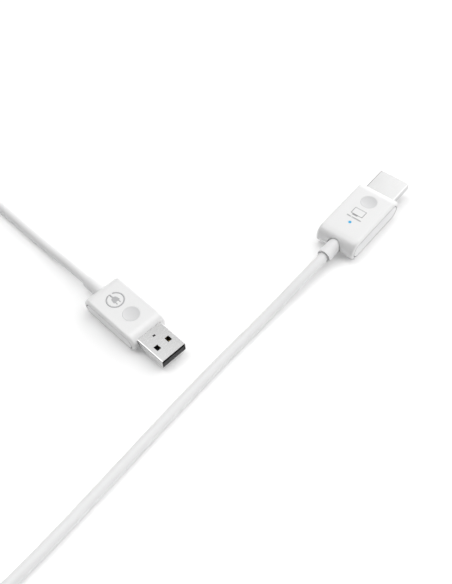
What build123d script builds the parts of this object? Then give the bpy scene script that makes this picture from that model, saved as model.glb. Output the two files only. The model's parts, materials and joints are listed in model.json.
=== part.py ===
from build123d import *
import os
from math import cos, pi, radians, sin, sqrt, tan

# A small wireless receiver head with a flat video plug, joined by one round white cord to a
# supply head with a flat power plug.  All sizes are in millimetres and +Z is up.
#
# Frame: the origin is on the resting surface, under the middle of the receiver head
# (from the tip of its plug to the end of its collar), and +Y points out of its plug.
# Each head is drawn in its own frame first: y = 0 is the nose of the housing, the plug
# points to +y, the cord leaves to -y, and z = 0 is the surface that the head lies on.

# ---------------------------------------------------------------- driving dimensions

# Receiver housing
receiver_length = 34.8
receiver_width = 18.2
receiver_height = 9.6
video_axis_rise = 0.7           # middle of the video plug above the housing's middle
video_reach = 10.7              # plug beyond the housing's nose
receiver_collar_diameter = 6.0
receiver_collar_length = 7.0
receiver_collar_groove = 0.3    # open groove round the collar's root
receiver_collar_groove_depth = 2.2
receiver_dimple_back = 9.7      # nose to the middle of the finger dimple
light_back = 23.7               # nose to the status light

# Supply housing
supply_length = 30.2
supply_width = 16.8
supply_height = 8.2
supply_axis_height = 4.1
supply_reach = 13.3
supply_collar_diameter = 5.7
supply_collar_length = 7.4
supply_dimple_back = 10.5       # nose to the middle of the finger dimple

# Both housings
skin = 1.2                      # top and bottom walls
side_wall = 1.6
end_wall = 4.2                  # nose and tail are nearly solid, so they clamp what passes
side_edge_radius = 1.2
cavity_corner_radius = 0.2
plate_inset = 1.8               # side plate's outline inside the housing's side outline
plate_drop = 0.5                # side plate's middle below the housing's middle
plate_thickness = 0.9
plate_groove = 0.4              # open groove round each side plate
dimple_diameter = 7.5
dimple_depth = 0.5
boss_diameter = 2.6
boss_pin_diameter = 1.2
boss_pin_length = 1.8
boss_from_wall = 0.1            # gap between a boss and the cavity's side
fit_gap = 0.05                  # clearance where a piece passes through a housing wall

# Video plug: the standard flat one with nineteen contacts
video_width = 13.9
video_height = 4.45
video_shell_wall = 0.35
video_lower_chamfer = 1.3
video_corner_radius = 0.5
video_insulator_recess = 0.7
video_slot_width = 11.8
video_slot_height = 2.0
video_slot_depth = 7.4
video_tail_back = 8.4           # how far the plug runs back behind the nose
video_contact_width = 0.45
video_contact_thickness = 0.3
video_contact_pitch = 1.0
video_contact_set_back = 0.8    # insulator's front face to the contacts' tips
video_upper_count = 10
video_lower_count = 9

# Supply plug: the standard flat one with four contacts
supply_plug_width = 12.0
supply_plug_height = 4.5
supply_shell_wall = 0.3
supply_shell_corner = 0.6
supply_tongue_height = 1.85
supply_mouth_depth = 9.4        # open part of the mouth, in front of the solid block
supply_tongue_recess = 0.4
supply_tail_back = 7.4
supply_window_width = 1.9
supply_window_length = 2.3
supply_window_spacing = 5.6
supply_window_from_tip = 5.9
supply_lock_hole_width = 1.1
supply_lock_hole_length = 0.8
supply_lock_hole_from_nose = 2.4
supply_contact_places = (-3.5, -1.0, 1.0, 3.5)
supply_contact_width = 1.0
supply_contact_thickness = 0.25
supply_contact_set_back = 0.9   # tongue's front face to the contacts' tips

# Flange that keeps a plug or a collar from pulling out of its housing
flange_thickness = 1.0
plug_flange_lip = 0.3
collar_flange_width = 9.0
flange_gap = 0.2                # between a flange and the cavity's floor or roof

# Boards and what is on them
board_thickness = 1.0
receiver_board_width = 14.2
receiver_board_length = 16.6
supply_board_width = 10.6
supply_board_length = 9.0
supply_board_drop = 0.3         # board's top face below the tongue's top face
contact_tail_length = 1.7       # contact behind its board's front edge
contact_foot_length = 1.3
rest_rib_thickness = 0.6
rest_rib_length = 3.0
supply_rib_back = 2.2           # front edge of the board to the middle of its rest ribs
wire_diameter = 1.0
wire_spread = 1.5               # half the distance between the two wires at the crimp
wire_pad_spread = 3.0
wire_pad_inset = 1.5            # board's rear edge to a wire's solder pad
wire_corner_back = 0.9          # where a wire turns over the board's rear edge
crimp_wall = 0.35
crimp_length = 1.6
boss_notch_gap = 0.1            # board round a boss
board_gap = 0.2                 # end of the plug to the front edge of its board
status_light_size = (1.6, 0.8, 0.6)
light_pipe_diameter = 1.3
light_pipe_flange_diameter = 2.3
light_pipe_flange_thickness = 0.4

# Each piece on a board: its width, length and height, then its x and its y from the board's
# middle line.  The processor, its pad and the memory chip hang under the receiver board.
processor_size, processor_spot = (8.0, 8.0, 0.9), (0, 0)
pad_size, pad_spot = (7.2, 7.2, 0.7), (0, 0)
memory_size, memory_spot = (7.0, 2.8, 0.8), (0, -6.7)
radio_size, radio_spot = (6.4, 6.4, 1.5), (-1.5, 0.5)
flash_size, flash_spot = (3.2, 2.6, 0.8), (-2.8, -4.7)
antenna_size, antenna_spot = (1.5, 5.0, 1.0), (6.0, -1.3)
crystal_size, crystal_spot = (2.5, 2.0, 0.7), (3.2, 2.4)
inductor_size, inductor_spot = (2.6, 2.6, 1.3), (3.4, -1.2)
regulator_size, regulator_spot = (1.6, 2.9, 1.0), (3.4, -4.5)
capacitor_size = (1.0, 0.5, 0.5)
capacitor_spots = ((-6.0, 0.7), (-6.0, -0.8), (-6.0, -2.3), (0.6, -3.9), (0.6, -5.1), (2.4, 5.1))
fuse_size, fuse_spot = (3.2, 2.5, 0.7), (-0.2, 0.5)
surge_size, surge_spot = (1.6, 1.0, 0.8), (0.2, -1.7)
spreader_width = 8.8            # fills the gap between the thermal pad and the floor
spreader_length = 12.0
radio_edge_radius = 0.25
crystal_edge_radius = 0.15
inductor_edge_radius = 0.3

# Cord
cord_diameter = 4.3
cord_floor = cord_diameter / 2  # height of the cord's middle where it lies on the surface
collar_recess_depth = 0.9
collar_recess_gap = 0.3

# Where the supply head lies, and which way its plug points
supply_nose_x = -30.0
supply_nose_y = -97.6
supply_yaw = -95.6              # degrees about +Z, from +Y

# The put-away coil of the middle of the cord
coil_x = -64.0
coil_y = -211.0
coil_radius = 5.5 * cord_diameter  # to the middle of its turns
coil_leave_angle = -116.0       # degrees, where the cord leaves the coil's top layer
coil_entry_lead = 19.0
coil_exit_lead = 20.0
coil_exit_straight = 13.5       # lying run's first stretch, in line with the exit lead
coil_slack = 0.15               # coil's outer shape beyond its turns
coil_edge_radius = 1.8
tie_thickness = 0.8
tie_width = 8.0
tie_angle = 62.0

# ---------------------------------------------------------------- worked-out places

receiver_total = video_reach + receiver_length + receiver_collar_length
receiver_nose_y = receiver_total / 2 - video_reach
receiver_place = Pos(0, receiver_nose_y, 0)
supply_place = Pos(supply_nose_x, supply_nose_y, 0) * Rot(0, 0, supply_yaw)

receiver_cavity_back = -(receiver_length - end_wall)
supply_cavity_back = -(supply_length - end_wall)

receiver_split = receiver_height / 2
video_axis_height = receiver_split + video_axis_rise
supply_split = supply_height / 2
receiver_board_top = video_axis_height + board_thickness / 2
receiver_board_bottom = video_axis_height - board_thickness / 2
receiver_board_front = -(video_tail_back + board_gap)
receiver_board_back = receiver_board_front - receiver_board_length
receiver_board_middle = receiver_board_front - receiver_board_length / 2 + 0.2
receiver_boss_x = receiver_width / 2 - side_wall - boss_from_wall - boss_diameter / 2
receiver_boss_places = (receiver_board_front - 4.2, receiver_board_back + 2.2)

supply_tongue_top = supply_axis_height - supply_plug_height / 2 + supply_shell_wall + supply_tongue_height
supply_board_top = supply_tongue_top - supply_board_drop
supply_board_front = -(supply_tail_back + board_gap)
supply_board_back = supply_board_front - supply_board_length
supply_board_middle = supply_board_front - supply_board_length / 2
supply_boss_x = supply_width / 2 - side_wall - boss_from_wall - boss_diameter / 2
supply_boss_places = (supply_board_front - 6.0, supply_cavity_back + 3.4)

coil_layer_rise = cord_diameter * sqrt(3) / 2
coil_bottom_layer = tie_thickness + coil_slack + cord_floor
coil_top_layer = coil_bottom_layer + coil_layer_rise
coil_outer_turn = coil_radius + cord_diameter / 2
coil_section_width = 2 * (cord_diameter + coil_slack)
coil_section_height = coil_layer_rise + cord_diameter + 2 * coil_slack
coil_section_middle = tie_thickness + coil_section_height / 2


# ---------------------------------------------------------------- small helpers

def block(x0, x1, y0, y1, z0, z1):
    """A box between two corners."""
    return Pos((x0 + x1) / 2, (y0 + y1) / 2, (z0 + z1) / 2) * Box(x1 - x0, y1 - y0, z1 - z0)


def centred_block(width, length, y, z0, z1, x=0.0):
    """A box centred on x and y, between two heights."""
    return block(x - width / 2, x + width / 2, y - length / 2, y + length / 2, z0, z1)


def on_board(size, spot, middle, z):
    """A piece that stands on height z of a board."""
    return centred_block(size[0], size[1], middle + spot[1], z, z + size[2], spot[0])


def stadium(length, height, width, y_middle, z_middle):
    """A slot outline in the side view, as wide as width across x."""
    outline = Plane.YZ * SlotOverall(length, height)
    return Pos(0, y_middle, z_middle) * extrude(outline, width / 2, both=True)


def rod(diameter, y0, y1, z, x=0.0):
    """A round bar along y."""
    bar = Rot(90, 0, 0) * Cylinder(diameter / 2, y1 - y0)
    return Pos(x, (y0 + y1) / 2, z) * bar


def post(diameter, x, y, z0, z1):
    """A round bar along z."""
    return Pos(x, y, (z0 + z1) / 2) * Cylinder(diameter / 2, z1 - z0)


def fillet_radii(points, share=0.45):
    """For each inner point, the largest radius that its two runs allow."""
    radii = []
    for before, here, after in zip(points, points[1:], points[2:]):
        run_in = Vector(*here) - Vector(*before)
        run_out = Vector(*after) - Vector(*here)
        turn = radians(run_in.get_angle(run_out))
        radii.append(share * min(run_in.length, run_out.length) / tan(turn / 2))
    return radii


def tube(points, diameter):
    """A round tube along straight runs joined by tangent arcs, and its path."""
    path = FilletPolyline(*points, radius=fillet_radii(points))
    start = Plane(origin=path @ 0, z_dir=path % 0)
    return sweep(start * Circle(diameter / 2), path), path


# ---------------------------------------------------------------- housings

def housing(length, width, height):
    """The outer form: a full-round slot in side view, with softened side edges."""
    body = stadium(length, height, width, -length / 2, height / 2)
    side_faces = body.faces().filter_by(Axis.X)
    return fillet(side_faces.edges(), side_edge_radius)


def cavity(length, width, height):
    """The room inside a housing."""
    hollow = block(-width / 2 + side_wall, width / 2 - side_wall,
                   -(length - end_wall), -end_wall, skin, height - skin)
    return fillet(hollow.edges().filter_by(Axis.Z), cavity_corner_radius)


def side_plate(length, width, height, side, grow=0.0):
    """A slot-shaped plate, flush in one side of a housing; grow widens it to its pocket."""
    plate = stadium(length - 2 * plate_inset + 2 * grow, height - 2 * plate_inset + 2 * grow,
                    plate_thickness, -length / 2, height / 2 - plate_drop)
    return Pos(side * (width - plate_thickness) / 2, 0, 0) * plate


def dimple(back, height):
    """The ball that presses the shallow finger dimple into a top face."""
    ball_radius = ((dimple_diameter / 2) ** 2 + dimple_depth ** 2) / (2 * dimple_depth)
    return Pos(0, -back, height - dimple_depth + ball_radius) * Sphere(ball_radius)


def shells(length, width, height, split, plug_hole, collar_hole, boss_x, boss_places):
    """The top and the bottom shell of one housing."""
    body = housing(length, width, height) - cavity(length, width, height)
    for side in (-1, 1):
        body -= side_plate(length, width, height, side, plate_groove)
    body = body - plug_hole - collar_hole
    reach = length + 10
    top = body & block(-reach, reach, -reach, reach, split, height + 1)
    bottom = body & block(-reach, reach, -reach, reach, -1, split)
    for x in (-boss_x, boss_x):
        for y in boss_places:
            top += post(boss_diameter, x, y, split, height - skin)
            top += post(boss_pin_diameter, x, y, split - boss_pin_length, split)
            bottom += post(boss_diameter, x, y, skin, split)
            bottom -= post(boss_pin_diameter + 2 * fit_gap, x, y,
                           split - boss_pin_length - fit_gap, split)
    return top, bottom


def collar(diameter, length, housing_length, axis_height, height):
    """The moulded strain relief: collar, neck through the tail, and inner flange."""
    tail = -housing_length
    inner = tail + end_wall
    piece = rod(diameter, tail - length, inner, axis_height)
    piece += centred_block(collar_flange_width, flange_thickness, inner + flange_thickness / 2,
                           skin + flange_gap, height - skin - flange_gap)
    piece -= rod(cord_diameter + 2 * collar_recess_gap, tail - length - 1,
                 tail - length + collar_recess_depth, axis_height)
    return piece


def crimp(inner, axis_height):
    """The metal ring that is crimped on the cord's end, just inside the flange."""
    start = inner + flange_thickness
    ring = rod(cord_diameter, start, start + crimp_length, axis_height)
    return ring - rod(cord_diameter - 2 * crimp_wall, start - 1, start + crimp_length + 1, axis_height)


def cord_core(inner, axis_height):
    """The stub of the cord's filling inside the crimp, where the two wires come out."""
    start = inner + flange_thickness
    return rod(cord_diameter - 2 * crimp_wall, start, start + crimp_length, axis_height)


def wire(side, inner, axis_height, board_back, board_top):
    """One wire from the crimp to the top of its board."""
    start_y = inner + flange_thickness + crimp_length
    pad_height = board_top + wire_diameter / 2
    x0 = side * wire_spread
    x1 = side * wire_pad_spread
    points = [(x0, start_y, axis_height), (x0, start_y + wire_diameter, axis_height)]
    points += [(x1, board_back - wire_corner_back, pad_height)]
    points += [(x1, board_back + wire_pad_inset, pad_height)]
    return tube(points, wire_diameter)[0]


# ---------------------------------------------------------------- video plug

def video_profile(inset):
    """The plug's outline in front view: full width on top, chamfered lower corners."""
    half = video_width / 2 - inset
    top = video_height / 2 - inset
    cut = video_lower_chamfer
    corners = [(-half, top), (half, top), (half, -top + cut)]
    corners += [(half - cut, -top), (-half + cut, -top), (-half, -top + cut)]
    outline = make_face(Polyline(*corners, close=True))
    return fillet(outline.vertices(), video_corner_radius - max(inset, 0) / 2)


def along_plug(profile, y0, y1, axis_height):
    """A front-view outline drawn out from y0 to y1."""
    front = Plane(origin=(0, y1, axis_height), x_dir=(-1, 0, 0), z_dir=(0, 1, 0))
    return extrude(front * profile, -(y1 - y0))


def video_contact(x, side):
    """One gold contact: a bar along the slot and a foot on its side of the board."""
    face = video_slot_height / 2
    low = face - video_contact_thickness / 2
    high = face + video_contact_thickness / 2
    tail = receiver_board_front - contact_tail_length
    front = video_reach - video_insulator_recess - video_contact_set_back
    z = [video_axis_height + side * value for value in (low, high, board_thickness / 2)]
    bar = centred_block(video_contact_width, front - tail, (front + tail) / 2,
                        min(z[0], z[1]), max(z[0], z[1]), x)
    foot = centred_block(video_contact_width, contact_foot_length, tail + contact_foot_length / 2,
                         min(z[2], z[1]), max(z[2], z[1]), x)
    return bar + foot


def video_contacts(count, side):
    """A row of contacts as separate solids."""
    first = -(count - 1) / 2 * video_contact_pitch
    return [video_contact(first + i * video_contact_pitch, side) for i in range(count)]


def video_shell():
    """The bent steel shell, with a flange behind the nose wall."""
    outside = along_plug(video_profile(0), -video_tail_back, video_reach, video_axis_height)
    lip = centred_block(video_width + 2 * plug_flange_lip, flange_thickness,
                        -end_wall - flange_thickness / 2,
                        video_axis_height - video_height / 2 - plug_flange_lip,
                        video_axis_height + video_height / 2 + plug_flange_lip)
    inside = along_plug(video_profile(video_shell_wall), -video_tail_back - 1, video_reach + 1,
                        video_axis_height)
    return outside + lip - inside


def video_insulator(contacts):
    """The black insulator that fills the shell, open in front as a wide slot."""
    front = video_reach - video_insulator_recess
    core = along_plug(video_profile(video_shell_wall), -video_tail_back, front, video_axis_height)
    slot = centred_block(video_slot_width, video_slot_depth, front - video_slot_depth / 2,
                         video_axis_height - video_slot_height / 2,
                         video_axis_height + video_slot_height / 2)
    core -= slot
    for contact in contacts:
        core -= contact
    return core


# ---------------------------------------------------------------- supply plug

def supply_profile(inset):
    """The plug's outline in front view."""
    return RectangleRounded(supply_plug_width - 2 * inset, supply_plug_height - 2 * inset,
                            supply_shell_corner - inset)


def supply_shell():
    """The folded steel shell, with two windows in each broad face and a lock hole on top."""
    outside = along_plug(supply_profile(0), -supply_tail_back, supply_reach, supply_axis_height)
    lip = centred_block(supply_plug_width + 2 * plug_flange_lip, flange_thickness,
                        -end_wall - flange_thickness / 2,
                        supply_axis_height - supply_plug_height / 2 - plug_flange_lip,
                        supply_axis_height + supply_plug_height / 2 + plug_flange_lip)
    inside = along_plug(supply_profile(supply_shell_wall), -supply_tail_back - 1, supply_reach + 1,
                        supply_axis_height)
    shell = outside + lip - inside
    window_y = supply_reach - supply_window_from_tip
    for x in (-supply_window_spacing / 2, supply_window_spacing / 2):
        shell -= centred_block(supply_window_width, supply_window_length, window_y, 0, supply_height, x)
    shell -= centred_block(supply_lock_hole_width, supply_lock_hole_length, supply_lock_hole_from_nose,
                           supply_axis_height, supply_height)
    return shell


def supply_contact(x):
    """One flat contact on the tongue, with a foot on the board behind."""
    front = supply_reach - supply_tongue_recess - supply_contact_set_back
    low = supply_tongue_top - supply_contact_thickness / 2
    high = supply_tongue_top + supply_contact_thickness / 2
    tail = supply_board_front - contact_tail_length
    bar = centred_block(supply_contact_width, front - tail, (front + tail) / 2, low, high, x)
    foot = centred_block(supply_contact_width, contact_foot_length, tail + contact_foot_length / 2,
                         supply_board_top, high, x)
    return bar + foot


def supply_insulator(contacts):
    """The black block at the root of the plug and the tongue that carries the contacts."""
    block_front = supply_reach - supply_mouth_depth
    core = along_plug(supply_profile(supply_shell_wall), -supply_tail_back,
                      supply_reach - supply_tongue_recess, supply_axis_height)
    core -= block(-supply_plug_width, supply_plug_width, block_front, supply_reach + 1,
                  supply_tongue_top, supply_height)
    for contact in contacts:
        core -= contact
    return core


# ---------------------------------------------------------------- the receiver head

def receiver_nodes():
    """Every piece of the receiver head, in the head's own frame."""
    plug_hole = along_plug(video_profile(-fit_gap), -end_wall - 1, 1, video_axis_height)
    collar_hole = rod(receiver_collar_diameter + 2 * fit_gap, -receiver_length - 1,
                      receiver_cavity_back + 1, receiver_split)
    collar_hole += rod(receiver_collar_diameter + 2 * receiver_collar_groove, -receiver_length - 1,
                       -receiver_length + receiver_collar_groove_depth, receiver_split)
    top, bottom = shells(receiver_length, receiver_width, receiver_height, receiver_split,
                         plug_hole, collar_hole, receiver_boss_x, receiver_boss_places)
    top -= dimple(receiver_dimple_back, receiver_height)
    top -= post(light_pipe_diameter + 2 * fit_gap, 0, -light_back, receiver_height / 2,
                receiver_height + 1)
    for side in (-1, 1):
        rib_x = side * (receiver_board_width - rest_rib_thickness) / 2
        bottom += centred_block(rest_rib_thickness, rest_rib_length, receiver_board_middle, skin,
                                receiver_board_bottom, rib_x)

    board = block(-receiver_board_width / 2, receiver_board_width / 2, receiver_board_back,
                  receiver_board_front, receiver_board_bottom, receiver_board_top)
    for x in (-receiver_boss_x, receiver_boss_x):
        for y in receiver_boss_places:
            board -= post(boss_diameter + 2 * boss_notch_gap, x, y, 0, receiver_height)

    upper = video_contacts(video_upper_count, 1)
    lower = video_contacts(video_lower_count, -1)

    over = receiver_board_top
    middle = receiver_board_middle
    chip_low = receiver_board_bottom - processor_size[2]
    pad_low = chip_low - pad_size[2]
    chip = on_board(processor_size, processor_spot, middle, chip_low)
    pad = on_board(pad_size, pad_spot, middle, pad_low)
    spreader = centred_block(spreader_width, spreader_length, middle, skin, pad_low)
    memory = on_board(memory_size, memory_spot, middle, receiver_board_bottom - memory_size[2])
    radio = fillet(on_board(radio_size, radio_spot, middle, over).edges(), radio_edge_radius)
    flash = on_board(flash_size, flash_spot, middle, over)
    antenna = on_board(antenna_size, antenna_spot, middle, over)
    crystal = fillet(on_board(crystal_size, crystal_spot, middle, over).edges(), crystal_edge_radius)
    inductor = fillet(on_board(inductor_size, inductor_spot, middle, over).edges(), inductor_edge_radius)
    regulator = on_board(regulator_size, regulator_spot, middle, over)
    capacitors = [on_board(capacitor_size, spot, middle, over) for spot in capacitor_spots]

    light_top = over + status_light_size[2]
    light = on_board(status_light_size, (0, 0), -light_back, over)
    roof = receiver_height - skin
    pipe = post(light_pipe_diameter, 0, -light_back, light_top, receiver_height)
    pipe += post(light_pipe_flange_diameter, 0, -light_back,
                 roof - light_pipe_flange_thickness, roof)

    inner = receiver_cavity_back
    back = receiver_board_back
    return {
        "receiver_top_shell": top,
        "receiver_bottom_shell": bottom,
        "receiver_left_side_plate": side_plate(receiver_length, receiver_width, receiver_height, -1),
        "receiver_right_side_plate": side_plate(receiver_length, receiver_width, receiver_height, 1),
        "video_plug_shell": video_shell(),
        "video_insulator": video_insulator(upper + lower),
        "video_upper_contacts": Compound(upper),
        "video_lower_contacts": Compound(lower),
        "receiver_circuit_board": board,
        "video_processor_chip": chip,
        "thermal_pad": pad,
        "heat_spreader": spreader,
        "memory_chip": memory,
        "radio_module": radio,
        "flash_chip": flash,
        "radio_antenna": antenna,
        "clock_crystal": crystal,
        "power_inductor": inductor,
        "voltage_regulator": regulator,
        "board_capacitors": Compound(capacitors),
        "status_light": light,
        "light_pipe": pipe,
        "receiver_strain_relief": collar(receiver_collar_diameter, receiver_collar_length,
                                         receiver_length, receiver_split, receiver_height),
        "receiver_cord_crimp": crimp(inner, receiver_split),
        "receiver_cord_core": cord_core(inner, receiver_split),
        "receiver_power_wire": wire(-1, inner, receiver_split, back, over),
        "receiver_ground_wire": wire(1, inner, receiver_split, back, over),
    }


# ---------------------------------------------------------------- the supply head

def supply_nodes():
    """Every piece of the supply head, in the head's own frame."""
    plug_hole = along_plug(supply_profile(-fit_gap), -end_wall - 1, 1, supply_axis_height)
    collar_hole = rod(supply_collar_diameter + 2 * fit_gap, -supply_length - 1,
                      supply_cavity_back + 1, supply_split)
    top, bottom = shells(supply_length, supply_width, supply_height, supply_split,
                         plug_hole, collar_hole, supply_boss_x, supply_boss_places)
    top -= dimple(supply_dimple_back, supply_height)
    under = supply_board_top - board_thickness
    rib_y = supply_board_front - supply_rib_back
    for side in (-1, 1):
        rib_x = side * (supply_board_width - rest_rib_thickness) / 2
        bottom += centred_block(rest_rib_thickness, rest_rib_length, rib_y, skin, under, rib_x)

    board = block(-supply_board_width / 2, supply_board_width / 2, supply_board_back, supply_board_front,
                  under, supply_board_top)
    for x in (-supply_boss_x, supply_boss_x):
        for y in supply_boss_places:
            board -= post(boss_diameter + 2 * boss_notch_gap, x, y, 0, supply_height)
    contacts = [supply_contact(x) for x in supply_contact_places]
    over = supply_board_top
    fuse = on_board(fuse_size, fuse_spot, supply_board_middle, over)
    surge = on_board(surge_size, surge_spot, supply_board_middle, over)

    inner = supply_cavity_back
    return {
        "supply_top_shell": top,
        "supply_bottom_shell": bottom,
        "supply_left_side_plate": side_plate(supply_length, supply_width, supply_height, -1),
        "supply_right_side_plate": side_plate(supply_length, supply_width, supply_height, 1),
        "supply_plug_shell": supply_shell(),
        "supply_insulator": supply_insulator(contacts),
        "supply_contacts": Compound(contacts),
        "supply_circuit_board": board,
        "supply_fuse": fuse,
        "supply_surge_filter": surge,
        "supply_strain_relief": collar(supply_collar_diameter, supply_collar_length,
                                       supply_length, supply_split, supply_height),
        "supply_cord_crimp": crimp(inner, supply_split),
        "supply_cord_core": cord_core(inner, supply_split),
        "supply_power_wire": wire(-1, inner, supply_split, supply_board_back, over),
        "supply_ground_wire": wire(1, inner, supply_split, supply_board_back, over),
    }


# ---------------------------------------------------------------- the cord

def coil_point(angle, radius, height):
    """A point on a turn of the coil."""
    return (coil_x + radius * cos(radians(angle)), coil_y + radius * sin(radians(angle)), height)


def axis_point(place, y, height):
    """A point on the middle line of a head, in the frame of the whole part."""
    return tuple((place * Pos(0, y, height)).position)


# Where the cord meets each collar, and the first stretch straight out of it
receiver_exit_back = -(receiver_length + receiver_collar_length - collar_recess_depth)
supply_exit_back = -(supply_length + supply_collar_length - collar_recess_depth)
receiver_exit = axis_point(receiver_place, receiver_exit_back, receiver_split)
supply_exit = axis_point(supply_place, supply_exit_back, supply_split)
supply_exit_lead = axis_point(supply_place, supply_exit_back - 11.5, supply_split)

# Where the cord's two runs meet the coil
coil_entry = (coil_x + coil_entry_lead, coil_y - coil_outer_turn, coil_bottom_layer)
coil_leave = coil_point(coil_leave_angle, coil_radius, coil_top_layer)
leave_heading = (sin(radians(coil_leave_angle)), -cos(radians(coil_leave_angle)), 0)
coil_exit = tuple(a + coil_exit_lead * b for a, b in zip(coil_leave, leave_heading))
coil_exit_point = tuple(a + coil_exit_straight * b for a, b in zip(coil_exit, leave_heading))

receiver_route = [
    receiver_exit,
    (0, -38.0, receiver_split),
    (-1.2, -61.0, cord_floor),
    (-2.4, -100.0, cord_floor),
    (-2.0, -143.0, cord_floor),
    (-1.5, -180.0, cord_floor),
    (-2.6, -205.0, cord_floor),
    (-7.5, -219.0, cord_floor),
    (-17.5, -230.5, cord_floor + 0.4),
    (-31.0, coil_entry[1], coil_bottom_layer),
    coil_entry,
]

supply_route = [
    coil_exit,
    coil_exit_point,
    (-128.0, -204.5, 3.0),
    (-150.0, -187.0, cord_floor),
    (-166.0, -164.0, cord_floor),
    (-174.5, -140.0, cord_floor),
    (-176.0, -118.0, cord_floor),
    (-171.0, -103.0, cord_floor),
    (-160.5, -91.5, cord_floor),
    (-146.0, -86.0, cord_floor),
    (-119.0, -88.9, cord_floor),
    (-93.5, -91.3, cord_floor),
    supply_exit_lead,
    supply_exit,
]


def cord_run(name, points):
    """One lying run of the cord; prints its arcs and checks its volume."""
    solid, path = tube(points, cord_diameter)
    radii = fillet_radii(points)
    expected = path.length * pi * (cord_diameter / 2) ** 2
    print(f"{name}: length {path.length:.1f}, volume ratio {solid.volume / expected:.4f}")
    print("  arc radii:", ", ".join(f"{radius:.0f}" for radius in radii))
    return solid, path.length


def coil_ring(grow=0.0):
    """The coil's outer shape: a ring of rounded rectangular section."""
    section = Pos(coil_radius, coil_section_middle) * RectangleRounded(
        coil_section_width + 2 * grow, coil_section_height + 2 * grow, coil_edge_radius + grow)
    section = Plane.XZ * section
    return Pos(coil_x, coil_y, 0) * revolve(section, Axis.Z)


def lead_stub(start, end):
    """A straight piece of cord between two points."""
    direction = Vector(*end) - Vector(*start)
    foot = Plane(origin=start, z_dir=direction.normalized())
    return extrude(foot * Circle(cord_diameter / 2), direction.length)


def cord_nodes():
    """The two lying runs, the put-away coil and its tie."""
    first, first_length = cord_run("cord_receiver_run", receiver_route)
    last, last_length = cord_run("cord_supply_run", supply_route)
    ring = coil_ring()
    entry_tangent = (coil_x, coil_entry[1], coil_bottom_layer)
    coil = ring + lead_stub(coil_entry, entry_tangent) + lead_stub(coil_exit, coil_leave)
    band = Pos(coil_x, coil_y, coil_section_middle) * Rot(0, 0, tie_angle) * Pos(coil_radius, 0, 0)
    reach = Box(2 * coil_section_width, tie_width, 2 * coil_section_height)
    tie = (coil_ring(tie_thickness) & band * reach) - ring
    last_turn = (-90 - coil_leave_angle) / 360
    turns = 2 * pi * (coil_outer_turn + coil_outer_turn - cord_diameter + coil_radius * (1 + last_turn))
    total = first_length + last_length + coil_entry_lead + coil_exit_lead + turns
    print(f"cord from collar to collar: {total:.0f} mm, of which {turns:.0f} mm in the coil")
    return {"cord_receiver_run": first, "cord_coil": coil, "cord_supply_run": last, "cord_tie": tie}


# ---------------------------------------------------------------- write every node

os.makedirs("parts", exist_ok=True)
model = {name: receiver_place * shape for name, shape in receiver_nodes().items()}
model.update({name: supply_place * shape for name, shape in supply_nodes().items()})
model.update(cord_nodes())
for name, shape in model.items():
    export_step(shape, f"parts/{name}.step")
print(f"{len(model)} nodes")
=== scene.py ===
# %% [markdown]
# # A small wireless receiver on a long white cord
# The object has two moulded heads.  The receiver head carries a wide flat video plug, and the
# supply head carries a flat power plug.  One round cord joins them.  Every part with a real
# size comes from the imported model, and this script adds the cord, the printed marks, the
# strap round the coil and all the finishes.

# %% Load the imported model
import json
from math import cos, pi, radians, sin, sqrt

import bmesh
import bpy
from mathutils import Matrix, Quaternion, Vector
from mathutils.geometry import convex_hull_2d


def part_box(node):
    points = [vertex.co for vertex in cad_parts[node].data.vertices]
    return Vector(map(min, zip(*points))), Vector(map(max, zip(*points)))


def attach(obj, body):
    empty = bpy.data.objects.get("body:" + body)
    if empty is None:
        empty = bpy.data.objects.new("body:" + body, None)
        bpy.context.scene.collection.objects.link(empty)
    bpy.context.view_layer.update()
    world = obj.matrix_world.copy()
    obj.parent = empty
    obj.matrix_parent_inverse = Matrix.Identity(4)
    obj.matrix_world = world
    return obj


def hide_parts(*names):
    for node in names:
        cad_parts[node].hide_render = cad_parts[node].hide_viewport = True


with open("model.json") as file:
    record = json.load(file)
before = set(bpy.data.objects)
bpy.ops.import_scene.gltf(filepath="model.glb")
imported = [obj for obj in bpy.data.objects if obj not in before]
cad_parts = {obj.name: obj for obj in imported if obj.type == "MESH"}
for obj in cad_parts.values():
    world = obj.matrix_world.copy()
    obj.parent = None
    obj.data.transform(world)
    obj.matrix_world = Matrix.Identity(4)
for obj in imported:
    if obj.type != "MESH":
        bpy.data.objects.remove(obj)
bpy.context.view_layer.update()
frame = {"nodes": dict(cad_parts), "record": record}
nodes = frame["nodes"]

# %% [markdown]
# ## The camera
# A camera is easiest to understand as a place, a point that it looks at and a roll about its
# own axis.  Euler angles would do the same, but they are hard to read.  The receiver lies near
# the top of the view, and the supply head below it on the left.

# %% Camera
camera_place = Vector((0.1076, -0.20245, 0.2589))
camera_aim = Vector((-0.02229, -0.06179, 0))
camera_roll = radians(-3.92)

camera = bpy.data.objects.new("camera", bpy.data.cameras.new("camera"))
camera.data.lens = 49.3
camera.data.clip_start = 0.01
camera.location = camera_place
turn = (camera_aim - camera_place).to_track_quat("-Z", "Y")
camera.rotation_mode = "QUATERNION"
camera.rotation_quaternion = turn @ Quaternion((0, 0, 1), camera_roll)
bpy.context.collection.objects.link(camera)
bpy.context.scene.camera = camera
print("camera is", round((camera_aim - camera_place).length, 3), "m from its aim")

# %% [markdown]
# ## The cord's route
# The cord is a round lead of 4.3 mm, about a metre long.  Straight pieces with rounded corners
# would look like bent wire.  A NURBS curve of order 3 has no corners, because it only leans
# towards its control points, and so it bends as a sprung lead does.  The first list runs from
# the receiver's collar to the coil, and the second from the coil to the supply head.

# %% Cord route
cord_width = 0.0043
lying = cord_width / 2

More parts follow.
